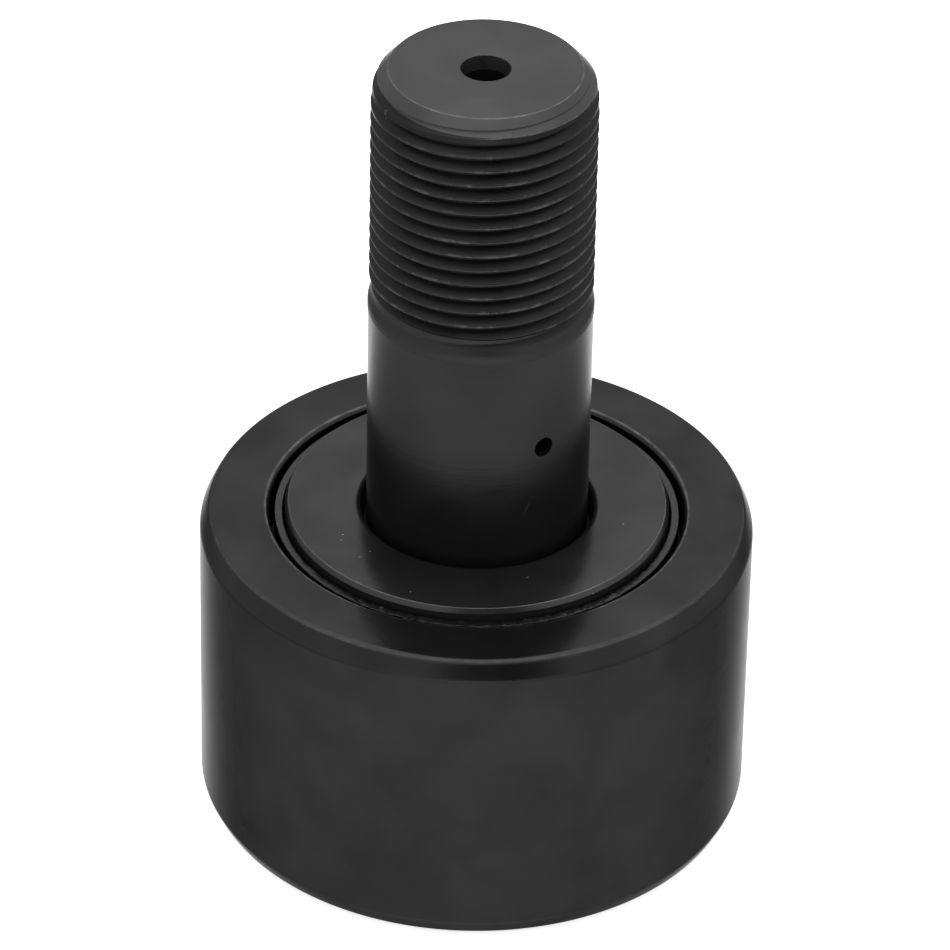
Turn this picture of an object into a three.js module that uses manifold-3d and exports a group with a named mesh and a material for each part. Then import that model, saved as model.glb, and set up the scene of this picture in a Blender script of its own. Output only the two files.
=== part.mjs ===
// A stud-type cam follower: a thick roller that turns on a full set of needles round the head of a stud.
// Millimetres. Z is the stud's axis with the threaded end up, and Z = 0 is the roller's lower face.
import * as THREE from 'three';
import { mergeVertices } from 'three/addons/utils/BufferGeometryUtils.js';
import Module from 'manifold-3d';

const inch = 25.4;

// Roller
const rollerRadius = 1.25 * inch;
const rollerWidth = 1.5 * inch;
const cornerRadial = 1.1; // corner chamfer, measured across the face
const cornerAxial = 2.2; // and measured down the rolling surface
const counterboreRadius = 23.8;
const mouthBevel = 0.4;
const outerRaceRadius = 19.9;

// Stud
const studLength = 2.25 * inch; // from the clamping face to the stud's end
const shankRadius = 0.5 * inch;
const innerRaceRadius = 15.83;
const landRadius = 13.1; // the seat that the end plate is pressed on
const headRadius = 22;
const headRecess = 0.4; // the head's face sits inside the roller's lower face
const edgeBevel = 0.5; // round the head

// Thread, 14 to the inch
const threadPitch = inch / 14;
const threadLength = 28.7; // from the stud's end to where the tool first touches
const threadStartAngle = THREE.MathUtils.degToRad(-150); // from +X, seen from the threaded end
const threadRunOut = 0.4; // turns in which the groove reaches its full depth
const threadRadius = 12.65;
const threadDepth = 1.2;
const threadEndBevel = 1.6;
const neckRadius = 12.35; // the relief where the thread runs out
const neckLow = 28.7; // the neck's lower and upper edges, from the stud's end
const neckHigh = 27.6;
const collarLength = 2; // the turned collar between the neck and the ground shank
const collarRadius = 12.77; // it stands a hair proud of the shank
const stepsPerTurn = 36;

// Grease passages and hex key socket
const greaseHoleRadius = 3 / 32 * inch;
const greaseMouthRadius = 2.85;
const shankHoleRadius = 3 / 64 * inch;
const shankHoleHeight = 9 / 16 * inch; // above the clamping face
const shankHoleAngle = THREE.MathUtils.degToRad(-90 + 35.4); // from +X, seen from the threaded end
const raceHoleRadius = 1 / 16 * inch;
const socketAcrossFlats = 0.5 * inch;
const socketDepth = 9;

// End plate, seals and needles
const plateProud = inch / 32; // the clamping face stands this far out of the roller's upper face
const plateEdgeRadial = 0.35; // outer chamfer, measured across the face
const plateEdgeAxial = 0.6; // and measured down the rim
const plateBore = 13.25;
const plateBoreBevel = 0.9;
const plateBoreDepth = 3.2; // the pressed seat stops this far below the clamping face
const seatDepth = 4.4; // from each roller face down to the faces that guide the needles' ends
const sealThickness = 0.8;
const sealRimRadius = 23.2;
const sealRimDepth = 0.6; // the rim's top lies this far inside the roller's face
const sealBore = 20.3;
const axialPlay = 0.1;
const needleRadius = 5 / 64 * inch;
const needleCount = 28;
const needleCircleRadius = 17.86;
const needleEndBevel = 0.3;

const roundSides = 72;
const studSides = stepsPerTurn;
const needleSides = 10;
const holeSides = 16;

// Heights that follow from the sizes above
const clampFace = rollerWidth + plateProud;
const studEnd = clampFace + studLength;
const plateUnderside = rollerWidth - seatDepth;
const counterboreDepth = seatDepth + sealThickness + 2 * axialPlay;
const threadStart = studEnd - threadLength;

const blackOxide = new THREE.MeshStandardMaterial({ color: 0x35373a, roughness: 0.38, metalness: 0.9 });
const brightSteel = new THREE.MeshStandardMaterial({ color: 0xb4b6b8, roughness: 0.2, metalness: 1 });
const greySeal = new THREE.MeshStandardMaterial({ color: 0x6c6f70, roughness: 0.6, metalness: 0 });

const wasm = await Module();
wasm.setup();

function point(radius, height) {
  return new THREE.Vector2(radius, height);
}

// A turned solid about Z. The outline runs anticlockwise in (radius, height), so its faces point out.
function turned(outline, sides) {
  const geometry = new THREE.LatheGeometry(outline, sides);
  geometry.rotateX(Math.PI / 2);
  return geometry;
}

// A turned ring, whose outline closes on itself
function turnedRing(outline, sides) {
  return turned([...outline, outline[0].clone()], sides);
}

function toSolid(geometry) {
  const bare = geometry.clone();
  bare.deleteAttribute('normal');
  bare.deleteAttribute('uv');
  const merged = mergeVertices(bare, 1e-4);
  return new wasm.Manifold(new wasm.Mesh({
    numProp: 3,
    vertProperties: merged.attributes.position.array,
    triVerts: new Uint32Array(merged.index.array),
  }));
}

function toGeometry(solid) {
  const mesh = solid.getMesh();
  const geometry = new THREE.BufferGeometry();
  geometry.setAttribute('position', new THREE.BufferAttribute(mesh.vertProperties, 3));
  geometry.setIndex(new THREE.BufferAttribute(mesh.triVerts, 1));
  geometry.computeVertexNormals();
  return geometry;
}

// The path of the threading tool: a right-hand helix that climbs off the end of the stud, and that starts
// outside the metal so that its first stretch cuts deeper and deeper
class ThreadPath extends THREE.Curve {
  constructor(turns) {
    super();
    this.turns = turns;
  }

  angle(t) {
    return threadStartAngle + t * this.turns * 2 * Math.PI;
  }

  getPoint(t) {
    const turn = t * this.turns;
    const lift = threadDepth * 1.2 * Math.max(0, 1 - turn / threadRunOut) ** 2;
    const radius = threadRadius - threadDepth + lift;
    return new THREE.Vector3(
      radius * Math.cos(this.angle(t)),
      radius * Math.sin(this.angle(t)),
      threadStart + turn * threadPitch,
    );
  }

  getSpacedPoints(steps) {
    return this.getPoints(steps);
  }

  // The tool always points at the stud's axis: normals are radial and binormals point down
  computeFrenetFrames(steps) {
    const frames = { tangents: [], normals: [], binormals: [] };
    for (let step = 0; step <= steps; step++) {
      const angle = this.angle(step / steps);
      frames.tangents.push(new THREE.Vector3(-Math.sin(angle), Math.cos(angle), 0));
      frames.normals.push(new THREE.Vector3(Math.cos(angle), Math.sin(angle), 0));
      frames.binormals.push(new THREE.Vector3(0, 0, -1));
    }
    return frames;
  }
}

function threadGroove() {
  const toolHeight = threadDepth + 0.25;
  const halfWidth = toolHeight * Math.tan(Math.PI / 6);
  const tool = new THREE.Shape([
    point(0, 0),
    point(toolHeight, halfWidth),
    point(toolHeight, -halfWidth),
  ]);
  const turns = Math.ceil(threadLength / threadPitch) + 1;
  return new THREE.ExtrudeGeometry(tool, {
    steps: turns * stepsPerTurn,
    extrudePath: new ThreadPath(turns),
  });
}

// A hole drilled from the stud's axis out through its side
function radialHole(radius, angle, height) {
  const length = landRadius + innerRaceRadius;
  const drill = new THREE.CylinderGeometry(radius, radius, length, holeSides);
  drill.translate(0, length / 2, 0);
  drill.rotateZ(angle - Math.PI / 2);
  drill.translate(0, 0, height);
  return drill;
}

// The grease passage: a bevelled mouth in the stud's end and a drill point at the raceway's middle
function greasePassage() {
  const bottom = rollerWidth / 2 - raceHoleRadius;
  const above = studEnd + 1;
  const mouthDepth = greaseMouthRadius - greaseHoleRadius;
  return turned([
    point(0, bottom - greaseHoleRadius / 2),
    point(greaseHoleRadius, bottom),
    point(greaseHoleRadius, studEnd - mouthDepth),
    point(greaseMouthRadius, studEnd),
    point(greaseMouthRadius, above),
    point(0, above),
  ], holeSides);
}

function hexSocket() {
  const cornerRadius = socketAcrossFlats / Math.sqrt(3);
  const outline = [];
  for (let corner = 0; corner < 6; corner++) {
    const angle = corner * Math.PI / 3;
    outline.push(point(cornerRadius * Math.cos(angle), cornerRadius * Math.sin(angle)));
  }
  const socket = new THREE.ExtrudeGeometry(new THREE.Shape(outline), {
    depth: headRecess + socketDepth + 1,
    bevelEnabled: false,
  });
  socket.translate(0, 0, -1);
  return socket;
}

function stud() {
  const blank = turned([
    point(0, headRecess),
    point(headRadius - edgeBevel, headRecess),
    point(headRadius, headRecess + edgeBevel),
    point(headRadius, seatDepth),
    point(innerRaceRadius, seatDepth),
    point(innerRaceRadius, plateUnderside),
    point(landRadius, plateUnderside),
    point(landRadius, clampFace - plateBoreDepth),
    point(shankRadius, clampFace - plateBoreDepth),
    point(shankRadius, studEnd - neckLow - collarLength),
    point(collarRadius, studEnd - neckLow - collarLength + 0.2),
    point(collarRadius, studEnd - neckLow - collarLength / 2),
    point(neckRadius, studEnd - neckLow),
    point(neckRadius, studEnd - neckHigh),
    point(threadRadius, studEnd - neckHigh + 0.4),
    point(threadRadius, studEnd - threadEndBevel),
    point(threadRadius - threadEndBevel, studEnd),
    point(0, studEnd),
  ], studSides);
  const cuts = [
    threadGroove(),
    hexSocket(),
    greasePassage(),
    radialHole(shankHoleRadius, shankHoleAngle, clampFace + shankHoleHeight),
    radialHole(raceHoleRadius, 0, rollerWidth / 2),
  ];
  const solid = cuts.reduce((metal, cut) => metal.subtract(toSolid(cut)), toSolid(blank));
  return toGeometry(solid);
}

function outerRing() {
  const shoulder = counterboreDepth;
  const half = [
    point(outerRaceRadius, shoulder + mouthBevel),
    point(outerRaceRadius + mouthBevel, shoulder),
    point(counterboreRadius, shoulder),
    point(counterboreRadius, mouthBevel),
    point(counterboreRadius + mouthBevel, 0),
    point(rollerRadius - cornerRadial, 0),
    point(rollerRadius, cornerAxial),
  ];
  const otherHalf = half.map((p) => point(p.x, rollerWidth - p.y)).reverse();
  return turnedRing([...half, ...otherHalf], roundSides);
}

function endPlate() {
  return turnedRing([
    point(plateBore, plateUnderside),
    point(headRadius, plateUnderside),
    point(headRadius, clampFace - plateEdgeAxial),
    point(headRadius - plateEdgeRadial, clampFace),
    point(plateBore + plateBoreBevel, clampFace),
    point(plateBore, clampFace - plateBoreBevel),
  ], roundSides);
}

// A seal is a thrust washer behind the plate with a rim that stands up in the groove round it.
// It is drawn for the head side; the thread side is the same outline upside down.
function seal(isThreadSide) {
  const washerLow = seatDepth + axialPlay;
  const rimInner = sealRimRadius - sealThickness;
  const outline = [
    point(sealBore, washerLow),
    point(rimInner, washerLow),
    point(rimInner, sealRimDepth),
    point(sealRimRadius, sealRimDepth),
    point(sealRimRadius, washerLow + sealThickness),
    point(sealBore, washerLow + sealThickness),
  ];
  if (!isThreadSide) {
    return turnedRing(outline, roundSides);
  }
  const flipped = outline.map((p) => point(p.x, rollerWidth - p.y)).reverse();
  return turnedRing(flipped, roundSides);
}

function needle() {
  const bottom = seatDepth + axialPlay;
  const top = plateUnderside - axialPlay;
  return turned([
    point(0, bottom),
    point(needleRadius - needleEndBevel, bottom),
    point(needleRadius, bottom + needleEndBevel),
    point(needleRadius, top - needleEndBevel),
    point(needleRadius - needleEndBevel, top),
    point(0, top),
  ], needleSides);
}

function addPiece(parent, name, geometry, material) {
  const piece = new THREE.Mesh(geometry, material);
  piece.name = name;
  parent.add(piece);
  return piece;
}

const camFollower = new THREE.Group();
addPiece(camFollower, 'stud', stud(), blackOxide);
addPiece(camFollower, 'outer_ring', outerRing(), blackOxide);
addPiece(camFollower, 'end_plate', endPlate(), blackOxide);
addPiece(camFollower, 'thread_side_seal', seal(true), greySeal);
addPiece(camFollower, 'head_side_seal', seal(false), greySeal);

const needles = new THREE.Group();
for (let index = 0; index < needleCount; index++) {
  const angle = index / needleCount * 2 * Math.PI;
  const name = `needle_${String(index + 1).padStart(2, '0')}`;
  const piece = addPiece(needles, name, needle(), brightSteel);
  piece.position.set(needleCircleRadius * Math.cos(angle), needleCircleRadius * Math.sin(angle), 0);
  piece.rotation.z = angle;
}
camFollower.add(needles);

export default camFollower;
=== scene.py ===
import math

import bpy
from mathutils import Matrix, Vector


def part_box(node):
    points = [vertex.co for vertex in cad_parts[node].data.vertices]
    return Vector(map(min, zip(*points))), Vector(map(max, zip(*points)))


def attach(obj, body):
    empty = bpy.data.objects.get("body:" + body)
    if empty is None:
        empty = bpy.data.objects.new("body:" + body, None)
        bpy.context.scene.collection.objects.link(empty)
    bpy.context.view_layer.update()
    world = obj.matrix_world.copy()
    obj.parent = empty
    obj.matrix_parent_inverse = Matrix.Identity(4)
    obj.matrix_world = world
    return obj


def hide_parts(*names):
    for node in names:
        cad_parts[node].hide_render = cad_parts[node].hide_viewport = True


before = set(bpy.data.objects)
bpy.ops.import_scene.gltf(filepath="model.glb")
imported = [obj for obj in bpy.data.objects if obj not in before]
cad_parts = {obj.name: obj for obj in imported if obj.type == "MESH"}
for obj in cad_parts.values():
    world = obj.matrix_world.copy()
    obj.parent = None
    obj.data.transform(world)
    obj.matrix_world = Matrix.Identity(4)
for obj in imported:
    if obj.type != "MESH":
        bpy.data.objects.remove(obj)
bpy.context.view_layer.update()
print("frame loaded,", len(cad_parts), "nodes")

mm = 0.001
inch = 0.0254
ringSides = 256
mergeDistance = 0.0005 * mm

studLow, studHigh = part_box("stud")
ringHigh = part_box("outer_ring")[1]
plateLow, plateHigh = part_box("end_plate")


def linearColour(hexValue):
    # sRGB hex to the linear numbers that sockets take
    channels = [int(hexValue[i:i + 2], 16) / 255 for i in (1, 3, 5)]
    linear = [c / 12.92 if c <= 0.04045 else ((c + 0.055) / 1.055) ** 2.4 for c in channels]
    return (*linear, 1.0)


def addNode(tree, kind, settings=None, links=None):
    # settings are the node's own options or its sockets' values, links are socket: output
    node = tree.nodes.new(kind)
    for key, value in (settings or {}).items():
        if isinstance(key, str) and hasattr(node, key):
            setattr(node, key, value)
        else:
            node.inputs[key].default_value = value
    for key, output in (links or {}).items():
        tree.links.new(output, node.inputs[key])
    return node


def deselectAll():
    if bpy.context.object and bpy.context.object.mode != "OBJECT":
        bpy.ops.object.mode_set(mode="OBJECT")
    bpy.ops.object.select_all(action="DESELECT")


def makeActive(piece):
    deselectAll()
    piece.select_set(True)
    bpy.context.view_layer.objects.active = piece


def selectVertices(piece, test):
    # chooses vertices by place, with the piece in edit mode before and after
    bpy.ops.mesh.select_all(action="DESELECT")
    bpy.ops.object.mode_set(mode="OBJECT")
    for vertex in piece.data.vertices:
        vertex.select = test(vertex.co)
    bpy.ops.object.mode_set(mode="EDIT")
    bpy.ops.mesh.select_mode(type="VERT")


def turnPiece(name, corners, sides=ringSides, closed=True):
    # A turned piece, drawn as on a lathe: a circle is extruded from corner to corner.
    # Each corner is (radius, height, rounding). A closed outline comes back to its first corner.
    deselectAll()
    radius, height, rounding = corners[0]
    bpy.ops.mesh.primitive_circle_add(vertices=sides, radius=radius, enter_editmode=True,
                                      fill_type="NOTHING" if closed else "NGON")
    piece = bpy.context.object
    piece.name = name
    bpy.ops.transform.translate(value=(0, 0, height))
    for nextRadius, nextHeight, rounding in corners[1:] + (corners[:1] if closed else []):
        bpy.ops.mesh.extrude_edges_move(TRANSFORM_OT_translate={"value": (0, 0, nextHeight - height)})
        scale = nextRadius / radius
        bpy.ops.transform.resize(value=(scale, scale, 1), center_override=(0, 0, 0))
        radius, height = nextRadius, nextHeight
    if not closed:
        bpy.ops.mesh.edge_face_add()
    bpy.ops.mesh.select_all(action="SELECT")
    bpy.ops.mesh.remove_doubles(threshold=mergeDistance)
    bpy.ops.mesh.normals_make_consistent(inside=False)
    for radius, height, rounding in corners:
        if rounding:
            near = 0.002 * mm
            selectVertices(piece, lambda co: abs(co.z - height) < near
                           and abs(math.hypot(co.x, co.y) - radius) < near)
            bpy.ops.mesh.bevel(offset=rounding, segments=4, affect="EDGES")
    bpy.ops.object.mode_set(mode="OBJECT")
    return piece


def cutAway(piece, cutter):
    makeActive(piece)
    cut = piece.modifiers.new("cut", "BOOLEAN")
    cut.operation = "DIFFERENCE"
    cut.solver = "MANIFOLD"
    cut.object = cutter
    bpy.ops.object.modifier_apply(modifier=cut.name)
    bpy.data.objects.remove(cutter)


def finishPiece(piece, body, nodes, material, smoothAngle=32):
    makeActive(piece)
    bpy.ops.object.shade_smooth_by_angle(angle=math.radians(smoothAngle))
    piece.data.materials.clear()
    piece.data.materials.append(material)
    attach(piece, body)
    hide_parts(*nodes)
    print("made", piece.name, len(piece.data.polygons), "faces")


def turnedPlace(tree):
    # gives the place, its height, its distance from the axis, and the point (distance, 0, height)
    place = addNode(tree, "ShaderNodeTexCoord").outputs["Object"]
    parts = addNode(tree, "ShaderNodeSeparateXYZ", links={0: place}).outputs
    flat = addNode(tree, "ShaderNodeCombineXYZ", links={0: parts[0], 1: parts[1]}).outputs[0]
    radius = addNode(tree, "ShaderNodeVectorMath", {"operation": "LENGTH"}, {0: flat}).outputs["Value"]
    section = addNode(tree, "ShaderNodeCombineXYZ", links={0: radius, 2: parts[2]}).outputs[0]
    return place, parts[2], radius, section


def toolMarks(tree, place, radius, pitch):
    # rings left by the lathe or the grinding wheel: noise that hardly changes round the axis
    around = 1 / (22 * mm)
    stretched = addNode(tree, "ShaderNodeVectorMath",
                        {"operation": "MULTIPLY", 1: (around, around, 1 / pitch)}, {0: place}).outputs[0]
    inward = addNode(tree, "ShaderNodeMath", {"operation": "MULTIPLY", 1: 1 / pitch},
                     {0: radius}).outputs[0]
    return addNode(tree, "ShaderNodeTexNoise", {"noise_dimensions": "4D", "Scale": 1, "Detail": 2},
                   {"Vector": stretched, "W": inward}).outputs[0]


def rubbedEdgesAndHighlightLines(tree, place, section, look):
    # bright along the sharp edges: a fainter painted highlight line all round them, for the light their
    # roundings catch, with brighter patches where handling has rubbed the skin off
    edgeLines = None
    for edgeRadius, edgeHeight in look["edges"]:
        away = addNode(tree, "ShaderNodeVectorMath",
                       {"operation": "DISTANCE", 1: (edgeRadius, 0, edgeHeight)}, {0: section})
        near = addNode(tree, "ShaderNodeMapRange",
                       {"From Max": look["edgeWidth"], "To Min": 1, "To Max": 0},
                       {"Value": away.outputs["Value"]}).outputs[0]
        edgeLines = near if edgeLines is None else addNode(tree, "ShaderNodeMath", {"operation": "MAXIMUM"},
                                                     {0: edgeLines, 1: near}).outputs[0]
    patches = addNode(tree, "ShaderNodeTexNoise", {"Scale": 1 / (1.6 * mm), "Detail": 5, "Roughness": 0.65},
                      {"Vector": place}).outputs[0]
    # outside the rubbed patches the edges keep a fainter painted highlight line all round
    patches = addNode(tree, "ShaderNodeMapRange",
                      {"From Min": 0.42, "From Max": 0.66, "To Min": look["evenHighlightShare"]}, {"Value": patches})
    return addNode(tree, "ShaderNodeMath", {"operation": "MULTIPLY", "use_clamp": True},
                   {0: edgeLines, 1: patches.outputs[0]}).outputs[0]


def rubbedCrests(tree, place, height, radius, crest):
    # the nut and rough handling polish the crests of the thread
    outside = addNode(tree, "ShaderNodeMapRange", {"From Min": crest["from"], "From Max": crest["to"]},
                      {"Value": radius}).outputs[0]
    above = addNode(tree, "ShaderNodeMath", {"operation": "GREATER_THAN", 1: crest["low"]},
                    {0: height}).outputs[0]
    patches = addNode(tree, "ShaderNodeTexNoise", {"Scale": 1 / (2.6 * mm), "Detail": 5, "Roughness": 0.7},
                      {"Vector": place}).outputs[0]
    patches = addNode(tree, "ShaderNodeMapRange",
                      {"From Min": 0.5, "From Max": 0.72, "To Min": 0.15 * crest["share"],
                       "To Max": crest["share"]}, {"Value": patches}).outputs[0]
    polished = addNode(tree, "ShaderNodeMath", {"operation": "MULTIPLY"}, {0: outside, 1: above}).outputs[0]
    return addNode(tree, "ShaderNodeMath", {"operation": "MULTIPLY"}, {0: polished, 1: patches}).outputs[0]


def gritSpecks(tree, place, size, share):
    # loose specks of dust, each in its own random cell
    cells = addNode(tree, "ShaderNodeTexVoronoi", {"Scale": 1 / size}, {"Vector": place})
    dot = addNode(tree, "ShaderNodeMapRange",
                  {"From Min": 0.05, "From Max": 0.12, "To Min": 1, "To Max": 0},
                  {"Value": cells.outputs["Distance"]})
    chosen = addNode(tree, "ShaderNodeMath", {"operation": "LESS_THAN", 1: share},
                     {0: cells.outputs["Color"]})
    return addNode(tree, "ShaderNodeMath", {"operation": "MULTIPLY"},
                   {0: dot.outputs[0], 1: chosen.outputs[0]}).outputs[0]


def hairScratches(tree, place, cell, width, share):
    # straight hairlines: thin edges of large random cells, kept only in some patches
    cells = addNode(tree, "ShaderNodeTexVoronoi", {"feature": "DISTANCE_TO_EDGE", "Scale": 1 / cell},
                    {"Vector": place})
    line = addNode(tree, "ShaderNodeMapRange", {"From Max": width / cell, "To Min": 1, "To Max": 0},
                   {"Value": cells.outputs[0]})
    patch = addNode(tree, "ShaderNodeTexNoise", {"Scale": 1 / (4 * mm), "Detail": 1}, {"Vector": place})
    kept = addNode(tree, "ShaderNodeMapRange", {"From Min": 1 - share - 0.06, "From Max": 1 - share},
                   {"Value": patch.outputs[0]})
    return addNode(tree, "ShaderNodeMath", {"operation": "MULTIPLY"},
                   {0: line.outputs[0], 1: kept.outputs[0]}).outputs[0]


def blackOxide(name, look):
    # Black oxide is a magnetite skin about a micron thick on finished steel, sealed with oil. The eye sees
    # a dark satin metal that mirrors its surroundings softly, with the tool's rings under the skin.
    material = bpy.data.materials.new(name)
    material.use_nodes = True
    tree = material.node_tree
    tree.nodes.clear()
    place, height, radius, section = turnedPlace(tree)

    clouds = addNode(tree, "ShaderNodeTexNoise", {"Scale": 1 / (9 * mm), "Detail": 5, "Distortion": 0.4},
                     {"Vector": place}).outputs[0]
    grain = addNode(tree, "ShaderNodeTexNoise", {"Scale": 1 / (0.32 * mm), "Detail": 2},
                    {"Vector": place}).outputs[0]
    marks = toolMarks(tree, place, radius, look["markPitch"])

    # the dark base, with each zone of another colour laid over it by height; the stud's zones are other
    # finishes, the ring's paler face and corner zones are painted light
    colour, roughness = None, None
    tones = [{"colour": look["colour"], "roughness": look["roughness"]}, *look.get("zones", [])]
    for tone in tones:
        cloudy = addNode(tree, "ShaderNodeMapRange", {"From Min": 0.3, "From Max": 0.7},
                         {"Value": clouds}).outputs[0]
        dark = linearColour(tone["colour"])
        light = tuple(channel * (1 + look["cloudiness"]) for channel in dark[:3]) + (1.0,)
        skin = addNode(tree, "ShaderNodeMix", {"data_type": "RGBA", 6: dark, 7: light},
                       {0: cloudy}).outputs[2]
        rough = addNode(tree, "ShaderNodeMapRange",
                        {"From Min": 0.3, "From Max": 0.7, "To Min": tone["roughness"] * 0.88,
                         "To Max": tone["roughness"] * 1.16}, {"Value": clouds}).outputs[0]
        if "low" not in tone:
            colour, roughness = skin, rough
            continue
        soft = tone.get("soft", 0.03 * mm)
        above = addNode(tree, "ShaderNodeMapRange",
                        {"From Min": tone["low"] - soft, "From Max": tone["low"] + soft},
                        {"Value": height}).outputs[0]
        below = addNode(tree, "ShaderNodeMapRange",
                        {"From Min": tone["high"] - soft, "From Max": tone["high"] + soft,
                         "To Min": 1, "To Max": 0}, {"Value": height}).outputs[0]
        within = addNode(tree, "ShaderNodeMath", {"operation": "MULTIPLY"}, {0: above, 1: below}).outputs[0]
        colour = addNode(tree, "ShaderNodeMix", {"data_type": "RGBA"},
                         {0: within, 6: colour, 7: skin}).outputs[2]
        roughness = addNode(tree, "ShaderNodeMix", links={0: within, 2: roughness, 3: rough}).outputs[0]

    bareAndHighlight = rubbedEdgesAndHighlightLines(tree, place, section, look)
    scratches = hairScratches(tree, place, 13 * mm, 0.05 * mm, look["scratches"])
    bareAndHighlight = addNode(tree, "ShaderNodeMath", {"operation": "MAXIMUM"}, {0: bareAndHighlight, 1: scratches}).outputs[0]
    if "crest" in look:
        crests = rubbedCrests(tree, place, height, radius, look["crest"])
        bareAndHighlight = addNode(tree, "ShaderNodeMath", {"operation": "MAXIMUM"}, {0: bareAndHighlight, 1: crests}).outputs[0]
    bareAndHighlight = addNode(tree, "ShaderNodeMath", {"operation": "MULTIPLY", 1: look["bareAndHighlightShare"]},
                   {0: bareAndHighlight}).outputs[0]
    # the pale steel colour laid on: bare steel where rubbed or scratched, and painted highlight along the
    # edges
    colour = addNode(tree, "ShaderNodeMix", {"data_type": "RGBA", 7: linearColour("#9a9a98")},
                     {0: bareAndHighlight, 6: colour}).outputs[2]
    specks = gritSpecks(tree, place, 1.1 * mm, look["specks"])
    colour = addNode(tree, "ShaderNodeMix", {"data_type": "RGBA", 7: linearColour("#a09e99")},
                     {0: specks, 6: colour}).outputs[2]
    roughness = addNode(tree, "ShaderNodeMath", {"operation": "MULTIPLY_ADD", 1: 0.3, "use_clamp": True},
                        {0: specks, 2: roughness}).outputs[0]

    relief = addNode(tree, "ShaderNodeMath", {"operation": "MULTIPLY_ADD", 1: look["markShare"]},
                     {0: marks, 2: grain}).outputs[0]
    bump = addNode(tree, "ShaderNodeBump", {"Strength": 1.0, "Distance": look["relief"]},
                   {"Height": relief})
    # the rings spread each reflection across themselves, a quarter turn from the way they run
    around = addNode(tree, "ShaderNodeTangent", {"direction_type": "RADIAL", "axis": "Z"}).outputs[0]
    skin = addNode(tree, "ShaderNodeBsdfPrincipled",
                   {"Metallic": look["metallic"], "Specular Tint": linearColour(look["grazing"]),
                    "Anisotropic": look["brushing"], "Anisotropic Rotation": 0.25},
                   {"Base Color": colour, "Roughness": roughness, "Normal": bump.outputs[0],
                    "Tangent": around})
    addNode(tree, "ShaderNodeOutputMaterial", links={0: skin.outputs[0]})
    return material


ring = {
    "cornerAcross": 1.1 * mm,
    "cornerDown": 2.2 * mm,
    "faceRounding": 0.6 * mm,
    "wallRounding": 0.4 * mm,
    "counterbore": 23.8 * mm,
    "mouthBevel": 0.4 * mm,
    "race": 19.9 * mm,
    "shoulder": 5.4 * mm,
    "look": {
        "colour": "#252525", "metallic": 0.86, "roughness": 0.22, "grazing": "#a6a6a6", "cloudiness": 0.4,
        "brushing": 0.6, "markPitch": 0.42 * mm, "markShare": 1.2, "relief": 0.007 * mm,
        "edgeWidth": 0.28 * mm, "evenHighlightShare": 0.35, "bareAndHighlightShare": 0.4, "scratches": 0.16, "specks": 0.06,
    },
}


def makeRing():
    rim = ringHigh.x
    half = [
        (ring["race"], ring["shoulder"] + ring["mouthBevel"], 0),
        (ring["race"] + ring["mouthBevel"], ring["shoulder"], 0.1 * mm),
        (ring["counterbore"], ring["shoulder"], 0.2 * mm),
        (ring["counterbore"], ring["mouthBevel"], 0.05 * mm),
        (ring["counterbore"] + ring["mouthBevel"], 0, 0.05 * mm),
        (rim - ring["cornerAcross"], 0, ring["faceRounding"]),
        (rim, ring["cornerDown"], ring["wallRounding"]),
    ]
    upper = [(radius, ringHigh.z - height, rounding) for radius, height, rounding in reversed(half)]
    piece = turnPiece("rollerRing", half + upper)
    ring["look"]["edges"] = [(radius, height) for radius, height, rounding in half[4:6] + upper[1:3]]
    # the turned corners and faces are painted a little paler than the ground wall: painted light, standing
    # in for the brighter light they catch
    beyond, corner, face = 1 * mm, ring["cornerDown"], 0.1 * mm
    ring["look"]["zones"] = [
        {"low": -beyond, "high": corner, "colour": "#2d2d2d", "roughness": 0.2},
        {"low": -beyond, "high": face, "colour": "#343434", "roughness": 0.2},
        {"low": ringHigh.z - corner, "high": ringHigh.z + beyond, "colour": "#2d2d2d", "roughness": 0.2},
        {"low": ringHigh.z - face, "high": ringHigh.z + beyond, "colour": "#343434", "roughness": 0.2},
    ]
    finishPiece(piece, "roller", ["outer_ring"],
                blackOxide("black oxide on ground bearing steel", ring["look"]))


makeRing()

plate = {
    "bore": 13.25 * mm,
    "boreRounding": 0.9 * mm,
    "edgeAcross": 0.35 * mm,
    "edgeDown": 0.6 * mm,
    "look": {
        "colour": "#3e3e3e", "metallic": 0.8, "roughness": 0.2, "grazing": "#a4a4a4", "cloudiness": 0.35,
        "brushing": 0.5, "markPitch": 0.36 * mm, "markShare": 1.2, "relief": 0.007 * mm,
        "edgeWidth": 0.12 * mm, "evenHighlightShare": 0.35, "bareAndHighlightShare": 0.4, "scratches": 0.26, "specks": 0.12,
    },
}


def makeEndPlate():
    rim = plateHigh.x
    top, bottom = plateHigh.z, plateLow.z
    hiddenBevel = 0.3 * mm
    piece = turnPiece("pressedEndPlate", [
        (plate["bore"], bottom + hiddenBevel, 0),
        (plate["bore"] + hiddenBevel, bottom, 0),
        (rim - hiddenBevel, bottom, 0),
        (rim, bottom + hiddenBevel, 0),
        (rim, top - plate["edgeDown"], 0.08 * mm),
        (rim - plate["edgeAcross"], top, 0.06 * mm),
        (plate["bore"], top, plate["boreRounding"]),
    ])
    plate["look"]["edges"] = [(rim - plate["edgeAcross"], top)]
    finishPiece(piece, "stud", ["end_plate"],
                blackOxide("black oxide on turned plate steel", plate["look"]))


makeEndPlate()

seal = {
    "rimOut": 23.2 * mm,
    "rimIn": 22.25 * mm,
    "bore": 20.3 * mm,
    "thick": 0.8 * mm,
    "greaseSide": math.radians(-90),  # the grease has pushed out round this side
    "greaseSpread": math.radians(78),
    "lump": 0.2 * mm,
    "lumpSize": 0.5 * mm,
    "rimWall": 0.7 * mm,
}


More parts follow.
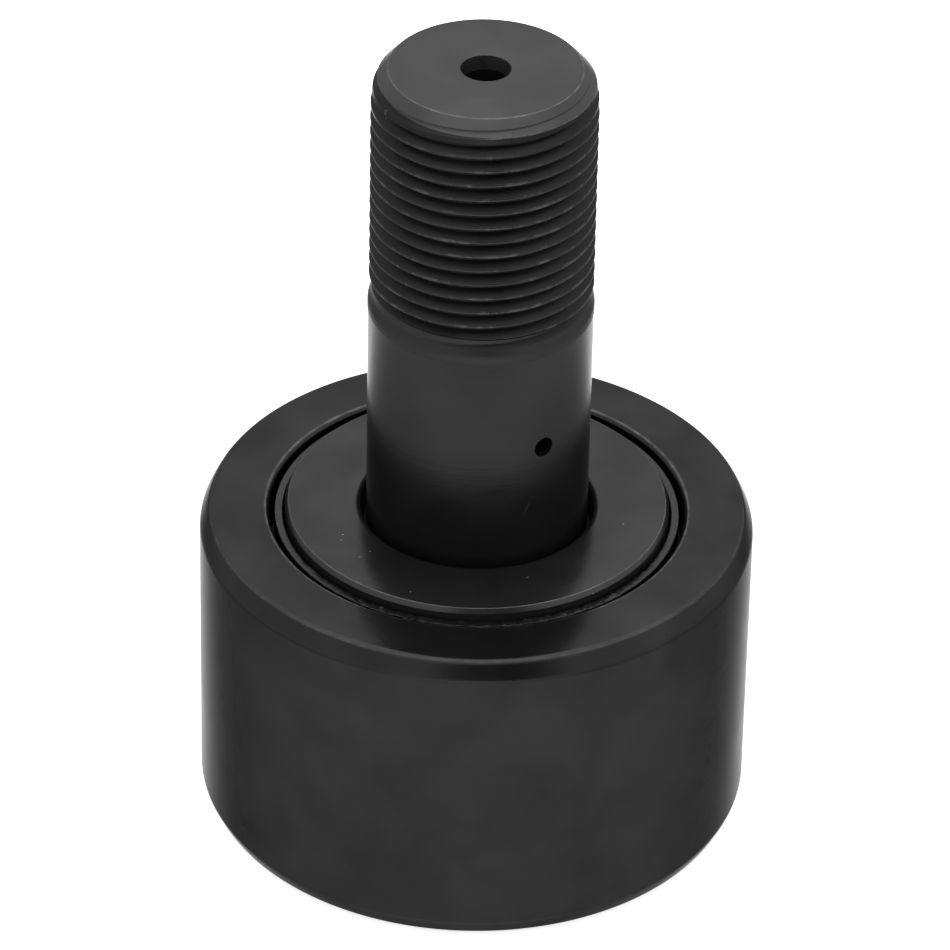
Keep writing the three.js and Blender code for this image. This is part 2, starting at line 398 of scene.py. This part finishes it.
def mouldedNylon():
    # black moulded nylon: a satin plastic with a fine moulded grain, wet with grease in places
    material = bpy.data.materials.new("black moulded nylon with grease")
    material.use_nodes = True
    tree = material.node_tree
    tree.nodes.clear()
    place = addNode(tree, "ShaderNodeTexCoord").outputs["Object"]
    patches = addNode(tree, "ShaderNodeTexNoise", {"Scale": 1 / (3 * mm), "Detail": 4},
                      {"Vector": place}).outputs[0]
    grain = addNode(tree, "ShaderNodeTexNoise", {"Scale": 1 / (0.3 * mm), "Detail": 3},
                    {"Vector": place}).outputs[0]
    colour = addNode(tree, "ShaderNodeMix", {"data_type": "RGBA", 6: linearColour("#0d0d0d"),
                                             7: linearColour("#1c1c1c")}, {0: patches}).outputs[2]
    roughness = addNode(tree, "ShaderNodeMapRange", {"From Min": 0.35, "From Max": 0.6, "To Min": 0.2,
                                                     "To Max": 0.36}, {"Value": patches}).outputs[0]
    bump = addNode(tree, "ShaderNodeBump", {"Distance": 0.03 * mm}, {"Height": grain})
    plastic = addNode(tree, "ShaderNodeBsdfPrincipled", {"IOR": 1.38},
                      {"Base Color": colour, "Roughness": roughness, "Normal": bump.outputs[0]})
    addNode(tree, "ShaderNodeOutputMaterial", links={0: plastic.outputs[0]})
    return material


nylon = mouldedNylon()


def smearGrease(piece, top):
    # small lumps of old grease along the rim, strongest on one side
    makeActive(piece)
    smear = piece.vertex_groups.new(name="smear")
    for vertex in piece.data.vertices:
        side = math.atan2(vertex.co.y, vertex.co.x) - seal["greaseSide"]
        side = math.atan2(math.sin(side), math.cos(side))
        share = max(0.12, 1 - (side / seal["greaseSpread"]) ** 2)
        if abs(vertex.co.z - top) < 1.2 * mm:
            smear.add([vertex.index], share, "REPLACE")
    lumps = bpy.data.textures.new("greaseLumps", "CLOUDS")
    lumps.noise_scale = seal["lumpSize"]
    lumps.noise_depth = 2
    swell = piece.modifiers.new("swell", "DISPLACE")
    swell.texture = lumps
    swell.texture_coords = "LOCAL"
    swell.vertex_group = "smear"
    swell.mid_level = 0.55
    swell.strength = seal["lump"] * 2
    bpy.ops.object.modifier_apply(modifier=swell.name)


def makeSeal(name, node, upsideDown):
    low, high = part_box(node)
    corners = [
        (seal["bore"], low.z, 0), (seal["bore"], low.z + seal["thick"], 0),
        (seal["rimIn"], low.z + seal["thick"], 0.1 * mm), (seal["rimIn"], high.z - seal["rimWall"], 0),
        (seal["rimIn"], high.z, 0.15 * mm), ((seal["rimIn"] + seal["rimOut"]) / 2, high.z, 0),
        (seal["rimOut"], high.z, 0.15 * mm),
        (seal["rimOut"], high.z - seal["rimWall"], 0), (seal["rimOut"], low.z, 0.1 * mm),
    ]
    if upsideDown:
        corners = [(radius, low.z + high.z - height, rounding) for radius, height, rounding in corners]
    piece = turnPiece(name, corners, sides=720)
    smearGrease(piece, low.z if upsideDown else high.z)
    finishPiece(piece, "roller", [node], nylon)


makeSeal("sealThreadSide", "thread_side_seal", False)
makeSeal("sealHeadSide", "head_side_seal", True)

stud = {
    "shank": 12.7 * mm,
    "thread": 12.65 * mm,
    "threadLength": 28.7 * mm,
    "threadStart": math.radians(-150),
    "threadRunOut": 0.4,  # turns
    "pitch": inch / 14,
    "threadDepth": 1.15 * mm,
    "grooveMouth": 0.76 * mm,  # half the groove's width at the crests before they are rounded
    "crestRounding": 0.22 * mm,
    "neck": 12.35 * mm,
    "neckLow": 28.67 * mm,  # from the stud's end
    "neckHigh": 27.6 * mm,
    "neckSlope": 0.4 * mm,
    "collar": 12.77 * mm,
    "collarLow": 30.7 * mm,
    "collarSlope": 0.9 * mm,
    "taperLow": 5 * mm,  # the last turns stand a little lower, which lets a nut start
    "taperHigh": 3.4 * mm,
    "taperAcross": 0.08 * mm,
    "endFace": 10.78 * mm,
    "endBevel": 1.65 * mm,
    "endShoulder": 0.35 * mm,  # how far inside the thread the bevel starts
    "greaseHole": 2.38 * mm,
    "greaseMouth": 2.8 * mm,
    "greaseMouthDepth": 0.9 * mm,
    "greaseTaper": 1.2 * mm,
    "greaseBottom": 17.5 * mm,
    "land": 13.1 * mm,
    "landDepth": 3.2 * mm,
    "race": 15.83 * mm,
    "headEdge": 0.5 * mm,
    "headThick": 4.0 * mm,
    "crossHole": 1.6 * mm,
    "sideHole": 1.2 * mm,
    "sideHoleHeight": 14.3 * mm,
    "sideHoleAngle": math.radians(-90 + 35.4),
    "sideHoleMargin": 1.6 * mm,  # rows of vertices above and below the hole keep its cut clean
    "drillLength": 20 * mm,
    "socketFlats": 12.7 * mm,
    "socketDepth": 9 * mm,
    "look": {
        "colour": "#2a2a2a", "metallic": 0.72, "roughness": 0.2, "grazing": "#a6a6a6", "cloudiness": 0.3,
        "brushing": 0.6, "markPitch": 0.4 * mm, "markShare": 1.4, "relief": 0.006 * mm,
        "edgeWidth": 0.13 * mm, "evenHighlightShare": 0.25, "bareAndHighlightShare": 0.5, "scratches": 0.24, "specks": 0.08,
    },
}


def grooveSection():
    # half of the tool's outline, from the root outwards, with arcs that round off the crests beside it
    depth, mouth, rounding = stud["threadDepth"], stud["grooveMouth"], stud["crestRounding"]
    tangent = rounding * math.tan(math.radians(30))
    rootFlat = mouth - depth * math.tan(math.radians(30))
    outline = [(0, rootFlat - 0.05 * mm), (0.05 * mm, rootFlat + 0.03 * mm)]
    for step in range(5):
        turned = math.radians(60 * step / 4)
        outline.append((depth - rounding + rounding * math.cos(math.radians(60) - turned),
                        mouth + tangent - rounding * math.sin(math.radians(60) - turned)))
    outline.append((depth + 0.1 * mm, mouth + tangent + 0.003 * mm))
    return outline


def threadTool():
    # the groove that a single-point tool cuts: a V section that follows a right-hand helix
    section = grooveSection()
    outline = section + [(x, -y) for x, y in reversed(section)]
    stepsPerTurn, turns = 96, 17.5
    bpy.ops.curve.primitive_bezier_curve_add()
    path = bpy.context.object
    line = path.data
    line.splines.clear()
    spline = line.splines.new("POLY")
    steps = int(stepsPerTurn * turns)
    spline.points.add(steps)
    start = studHigh.z - stud["threadLength"]
    for step in range(steps + 1):
        turn = step / stepsPerTurn
        angle = stud["threadStart"] + turn * 2 * math.pi
        lift = stud["threadDepth"] * 1.12 * max(0, 1 - turn / stud["threadRunOut"]) ** 2
        radius = stud["thread"] - stud["threadDepth"] + lift
        spline.points[step].co = (radius * math.cos(angle), radius * math.sin(angle),
                                  start + turn * stud["pitch"], 1)
    bpy.ops.curve.primitive_bezier_curve_add()
    shape = bpy.context.object
    shape.data.splines.clear()
    loop = shape.data.splines.new("POLY")
    loop.points.add(len(outline) - 1)
    for point, (x, y) in zip(loop.points, outline):
        point.co = (x, y, 0, 1)
    loop.use_cyclic_u = True
    shape.data.dimensions = "2D"
    shape.data.fill_mode = "NONE"
    line.dimensions = "3D"
    line.twist_mode = "Z_UP"
    line.bevel_mode = "OBJECT"
    line.bevel_object = shape
    line.use_fill_caps = True
    makeActive(path)
    bpy.ops.object.convert(target="MESH")
    tool = bpy.context.object
    bpy.data.objects.remove(shape)
    bpy.ops.object.mode_set(mode="EDIT")
    bpy.ops.mesh.select_all(action="SELECT")
    bpy.ops.mesh.remove_doubles(threshold=mergeDistance)
    bpy.ops.mesh.normals_make_consistent(inside=False)
    bpy.ops.object.mode_set(mode="OBJECT")
    return tool


def drill(radius, direction, height, length):
    deselectAll()
    bpy.ops.mesh.primitive_cylinder_add(vertices=48, radius=radius, depth=length,
                                        rotation=(0, math.pi / 2, direction),
                                        location=(length / 2 * math.cos(direction),
                                                  length / 2 * math.sin(direction), height))
    bpy.ops.object.transform_apply(location=True, rotation=True)
    return bpy.context.object


def hexTool(face):
    # the broached hexagon, from below the head's face up to the socket's floor
    below = 1 * mm
    depth = stud["socketDepth"] + below
    deselectAll()
    bpy.ops.mesh.primitive_cylinder_add(vertices=6, radius=stud["socketFlats"] / math.sqrt(3), depth=depth,
                                        location=(0, 0, face - below + depth / 2),
                                        rotation=(0, 0, math.radians(30)))
    bpy.ops.object.transform_apply(location=True, rotation=True)
    return bpy.context.object


def makeStud():
    top, head, rim = studHigh.z, studLow.z, studHigh.x
    thread, shank = stud["thread"], stud["shank"]
    inner = head + stud["headThick"]
    hole, mouth = stud["greaseHole"], stud["greaseMouth"]
    sideHoleHeight = plateHigh.z + stud["sideHoleHeight"]
    piece = turnPiece("forgedStud", [
        (rim - stud["headEdge"], head, 0.15 * mm),
        (rim, head + stud["headEdge"], 0.15 * mm),
        (rim, inner, 0.1 * mm),
        (stud["race"], inner, 0),
        (stud["race"], plateLow.z, 0),
        (stud["land"], plateLow.z, 0),
        (stud["land"], plateHigh.z - stud["landDepth"], 0.1 * mm),
        (shank, plateHigh.z - stud["landDepth"], 0),
        (shank, sideHoleHeight - stud["sideHoleMargin"], 0),
        (shank, sideHoleHeight + stud["sideHoleMargin"], 0),
        (shank, top - stud["collarLow"] - 0.1 * mm, 0),
        (stud["collar"], top - stud["collarLow"] + 0.1 * mm, 0),
        (stud["collar"], top - stud["neckLow"] - stud["collarSlope"], 0.3 * mm),
        (stud["neck"], top - stud["neckLow"], 0.05 * mm),
        (stud["neck"], top - stud["neckHigh"], 0),
        (thread, top - stud["neckHigh"] + stud["neckSlope"], 0),
        (thread, top - stud["taperLow"], 0),
        (thread - stud["taperAcross"], top - stud["taperHigh"], 0),
        (thread - stud["endShoulder"], top - stud["endBevel"], 0.1 * mm),
        (stud["endFace"], top, 0.1 * mm),
        (mouth, top, 0.05 * mm),
        (mouth, top - stud["greaseMouthDepth"], 0),
        (hole, top - stud["greaseMouthDepth"] - stud["greaseTaper"], 0),
        (hole, stud["greaseBottom"], 0),
        (0.05 * mm, stud["greaseBottom"] - hole * 0.6, 0),
    ], closed=False)
    cutAway(piece, threadTool())
    cutAway(piece, drill(stud["sideHole"], stud["sideHoleAngle"], sideHoleHeight, stud["drillLength"]))
    cutAway(piece, drill(stud["crossHole"], 0, ringHigh.z / 2, stud["drillLength"]))
    cutAway(piece, hexTool(head))
    look = stud["look"]
    look["edges"] = [
        (stud["endFace"], top), (thread - stud["endShoulder"], top - stud["endBevel"]),
        (rim - stud["headEdge"] / 2, head + stud["headEdge"] / 2),
    ]
    look["zones"] = [
        {"low": top - stud["collarLow"], "high": top - stud["neckHigh"], "colour": "#303030",
         "roughness": 0.38, "soft": 0.1 * mm},
        {"low": top - stud["neckHigh"], "high": top - stud["endBevel"], "colour": "#242424",
         "roughness": 0.26},
        {"low": top - stud["endBevel"], "high": top + 1 * mm, "colour": "#484848", "roughness": 0.28},
    ]
    look["crest"] = {"from": thread - 0.12 * mm, "to": thread - 0.02 * mm, "low": top - stud["neckHigh"],
                     "share": 0.7}
    finishPiece(piece, "stud", ["stud"],
                blackOxide("black oxide on turned alloy steel", look))


makeStud()

needle = {"radius": 1.984 * mm, "endRounding": 0.35 * mm}


def groundSteel():
    # bright ground bearing steel: a mirror that fine grinding lines stretch round the needle
    material = bpy.data.materials.new("bright ground bearing steel")
    material.use_nodes = True
    tree = material.node_tree
    tree.nodes.clear()
    place = addNode(tree, "ShaderNodeTexCoord").outputs["Object"]
    lines = addNode(tree, "ShaderNodeVectorMath", {"operation": "MULTIPLY", 1: (60, 60, 4000)},
                    {0: place}).outputs[0]
    lines = addNode(tree, "ShaderNodeTexNoise", {"Scale": 1, "Detail": 2}, {"Vector": lines}).outputs[0]
    roughness = addNode(tree, "ShaderNodeMapRange", {"To Min": 0.1, "To Max": 0.24},
                        {"Value": lines}).outputs[0]
    bump = addNode(tree, "ShaderNodeBump", {"Distance": 0.002 * mm}, {"Height": lines})
    steel = addNode(tree, "ShaderNodeBsdfPrincipled",
                    {"Metallic": 1.0, "Base Color": linearColour("#c6c7c9")},
                    {"Roughness": roughness, "Normal": bump.outputs[0]})
    addNode(tree, "ShaderNodeOutputMaterial", links={0: steel.outputs[0]})
    return material


def makeNeedles():
    names = [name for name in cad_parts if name.startswith("needle_")]
    low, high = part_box("needle_01")
    length = high.z - low.z
    steel = groundSteel()
    deselectAll()
    bpy.ops.mesh.primitive_cylinder_add(vertices=32, radius=needle["radius"], depth=length,
                                        enter_editmode=True, location=(0, 0, 0))
    first = bpy.context.object
    selectVertices(first, lambda co: abs(abs(co.z) - length / 2) < 0.01 * mm)
    bpy.ops.mesh.bevel(offset=needle["endRounding"], segments=4, affect="EDGES")
    bpy.ops.object.mode_set(mode="OBJECT")
    for name in sorted(names):
        low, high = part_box(name)
        makeActive(first)
        bpy.ops.object.duplicate(linked=False)
        piece = bpy.context.object
        piece.name = name.replace("needle_", "needleRoller")
        piece.location = (low + high) / 2
        bpy.ops.object.transform_apply(location=True)
        finishPiece(piece, "needle_set", [name], steel)
    bpy.data.objects.remove(first)


makeNeedles()

studio = {
    "elevation": 34.04,  # degrees, and roll too
    "roll": 1.166,
    "distance": 733.8 * mm,
    "aimSide": -0.28 * mm,
    "aimHeight": 4.13 * mm,  # above the roller's upper face
    "lens": 243.4,
    "brightness": 1.0,
    "cameraSide": 0.14,  # the unlit part of the room behind the camera
    "overhead": 1.7,
    "behind": 1.1,
    "beside": 0.85,
    "floorNear": 0.75,  # light through the floor around the object, and behind it
    "floorFar": 1.6,
    "openingSide": math.radians(10),  # the opening lies a little to the right of the camera
}


def makeCamera():
    rise = math.radians(studio["elevation"])
    aim = (studio["aimSide"], 0, ringHigh.z + studio["aimHeight"])
    place = (aim[0], -studio["distance"] * math.cos(rise), aim[2] + studio["distance"] * math.sin(rise))
    bpy.ops.object.camera_add(location=place, rotation=(math.pi / 2 - rise, 0, 0))
    camera = bpy.context.object
    camera.rotation_euler.rotate_axis("Z", math.radians(studio["roll"]))
    camera.data.lens = studio["lens"]
    camera.data.clip_end = 50
    bpy.context.scene.camera = camera


def makeFloor():
    deselectAll()
    bpy.ops.mesh.primitive_plane_add(size=8, location=(0, 0, 0))
    floor = bpy.context.object
    floor.name = "studioFloor"
    # a light table: opal acrylic with a matt top, lit from below in the middle and more at the back
    material = bpy.data.materials.new("backlit opal acrylic")
    material.use_nodes = True
    tree = material.node_tree
    tree.nodes.clear()
    place = addNode(tree, "ShaderNodeTexCoord").outputs["Object"]
    across, depth, height = addNode(tree, "ShaderNodeSeparateXYZ", links={0: place}).outputs
    glow = addNode(tree, "ShaderNodeMapRange",
                   {"From Min": 2 * ringHigh.x, "From Max": 5 * ringHigh.x, "To Min": studio["floorNear"],
                    "To Max": studio["floorFar"]}, {"Value": depth}).outputs[0]
    aside = addNode(tree, "ShaderNodeMath", {"operation": "ABSOLUTE"}, {0: across}).outputs[0]
    aside = addNode(tree, "ShaderNodeMapRange",
                    {"From Min": 2 * ringHigh.x, "From Max": 3.5 * ringHigh.x, "To Min": 1, "To Max": 0},
                    {"Value": aside}).outputs[0]
    glow = addNode(tree, "ShaderNodeMath", {"operation": "MULTIPLY"}, {0: glow, 1: aside}).outputs[0]
    acrylic = addNode(tree, "ShaderNodeBsdfPrincipled",
                      {"Base Color": linearColour("#dadada"), "Roughness": 0.9,
                       "Emission Color": (1, 1, 1, 1)}, {"Emission Strength": glow})
    addNode(tree, "ShaderNodeOutputMaterial", links={0: acrylic.outputs[0]})
    floor.data.materials.append(material)


def makeLight():
    # a white tent, brightest overhead and behind the object, with a dark opening beside the camera
    world = bpy.data.worlds.new("white tent")
    bpy.context.scene.world = world
    world.use_nodes = True
    tree = world.node_tree
    towards = addNode(tree, "ShaderNodeTexCoord").outputs["Generated"]
    parts = addNode(tree, "ShaderNodeSeparateXYZ", links={0: towards}).outputs
    level = addNode(tree, "ShaderNodeVectorMath", {"operation": "MULTIPLY", 1: (1, 1, 0)},
                    {0: towards}).outputs[0]
    level = addNode(tree, "ShaderNodeVectorMath", {"operation": "NORMALIZE"}, {0: level}).outputs[0]
    middle = (math.sin(studio["openingSide"]), -math.cos(studio["openingSide"]), 0)
    front = addNode(tree, "ShaderNodeVectorMath", {"operation": "DOT_PRODUCT", 1: middle},
                    {0: level}).outputs["Value"]
    across = addNode(tree, "ShaderNodeMapRange",
                     {"interpolation_type": "SMOOTHSTEP", "From Min": math.cos(math.radians(30)),
                      "From Max": math.cos(math.radians(10))}, {"Value": front}).outputs[0]
    below = addNode(tree, "ShaderNodeMapRange",
                    {"interpolation_type": "SMOOTHSTEP", "From Min": math.sin(math.radians(36)),
                     "From Max": math.sin(math.radians(56)), "To Min": 1, "To Max": 0},
                    {"Value": parts[2]}).outputs[0]
    opening = addNode(tree, "ShaderNodeMath", {"operation": "MULTIPLY"}, {0: across, 1: below}).outputs[0]
    opening = addNode(tree, "ShaderNodeMapRange", {"To Min": 1, "To Max": studio["cameraSide"]},
                      {"Value": opening}).outputs[0]
    back = addNode(tree, "ShaderNodeSeparateXYZ", links={0: level}).outputs[1]
    sides = addNode(tree, "ShaderNodeMapRange",
                    {"interpolation_type": "SMOOTHSTEP", "From Min": 0.3, "From Max": 0.95,
                     "To Min": studio["beside"], "To Max": studio["behind"]}, {"Value": back}).outputs[0]
    right = addNode(tree, "ShaderNodeMapRange",
                    {"From Min": -1, "From Max": 1, "To Min": 0.92, "To Max": 1.12},
                    {"Value": parts[0]}).outputs[0]
    sides = addNode(tree, "ShaderNodeMath", {"operation": "MULTIPLY"}, {0: sides, 1: right}).outputs[0]
    overhead = addNode(tree, "ShaderNodeMapRange",
                       {"interpolation_type": "SMOOTHSTEP", "From Min": math.sin(math.radians(38)),
                        "From Max": math.sin(math.radians(62)), "To Min": studio["brightness"],
                        "To Max": studio["brightness"] * studio["overhead"]},
                       {"Value": parts[2]}).outputs[0]
    strength = addNode(tree, "ShaderNodeMath", {"operation": "MULTIPLY"}, {0: opening, 1: sides}).outputs[0]
    strength = addNode(tree, "ShaderNodeMath", {"operation": "MULTIPLY"},
                       {0: strength, 1: overhead}).outputs[0]
    background = tree.nodes["Background"]
    background.inputs["Color"].default_value = (1, 1, 1, 1)
    tree.links.new(strength, background.inputs["Strength"])


makeCamera()
makeFloor()
makeLight()
bpy.context.scene.view_settings.view_transform = "Standard"
print("studio ready")
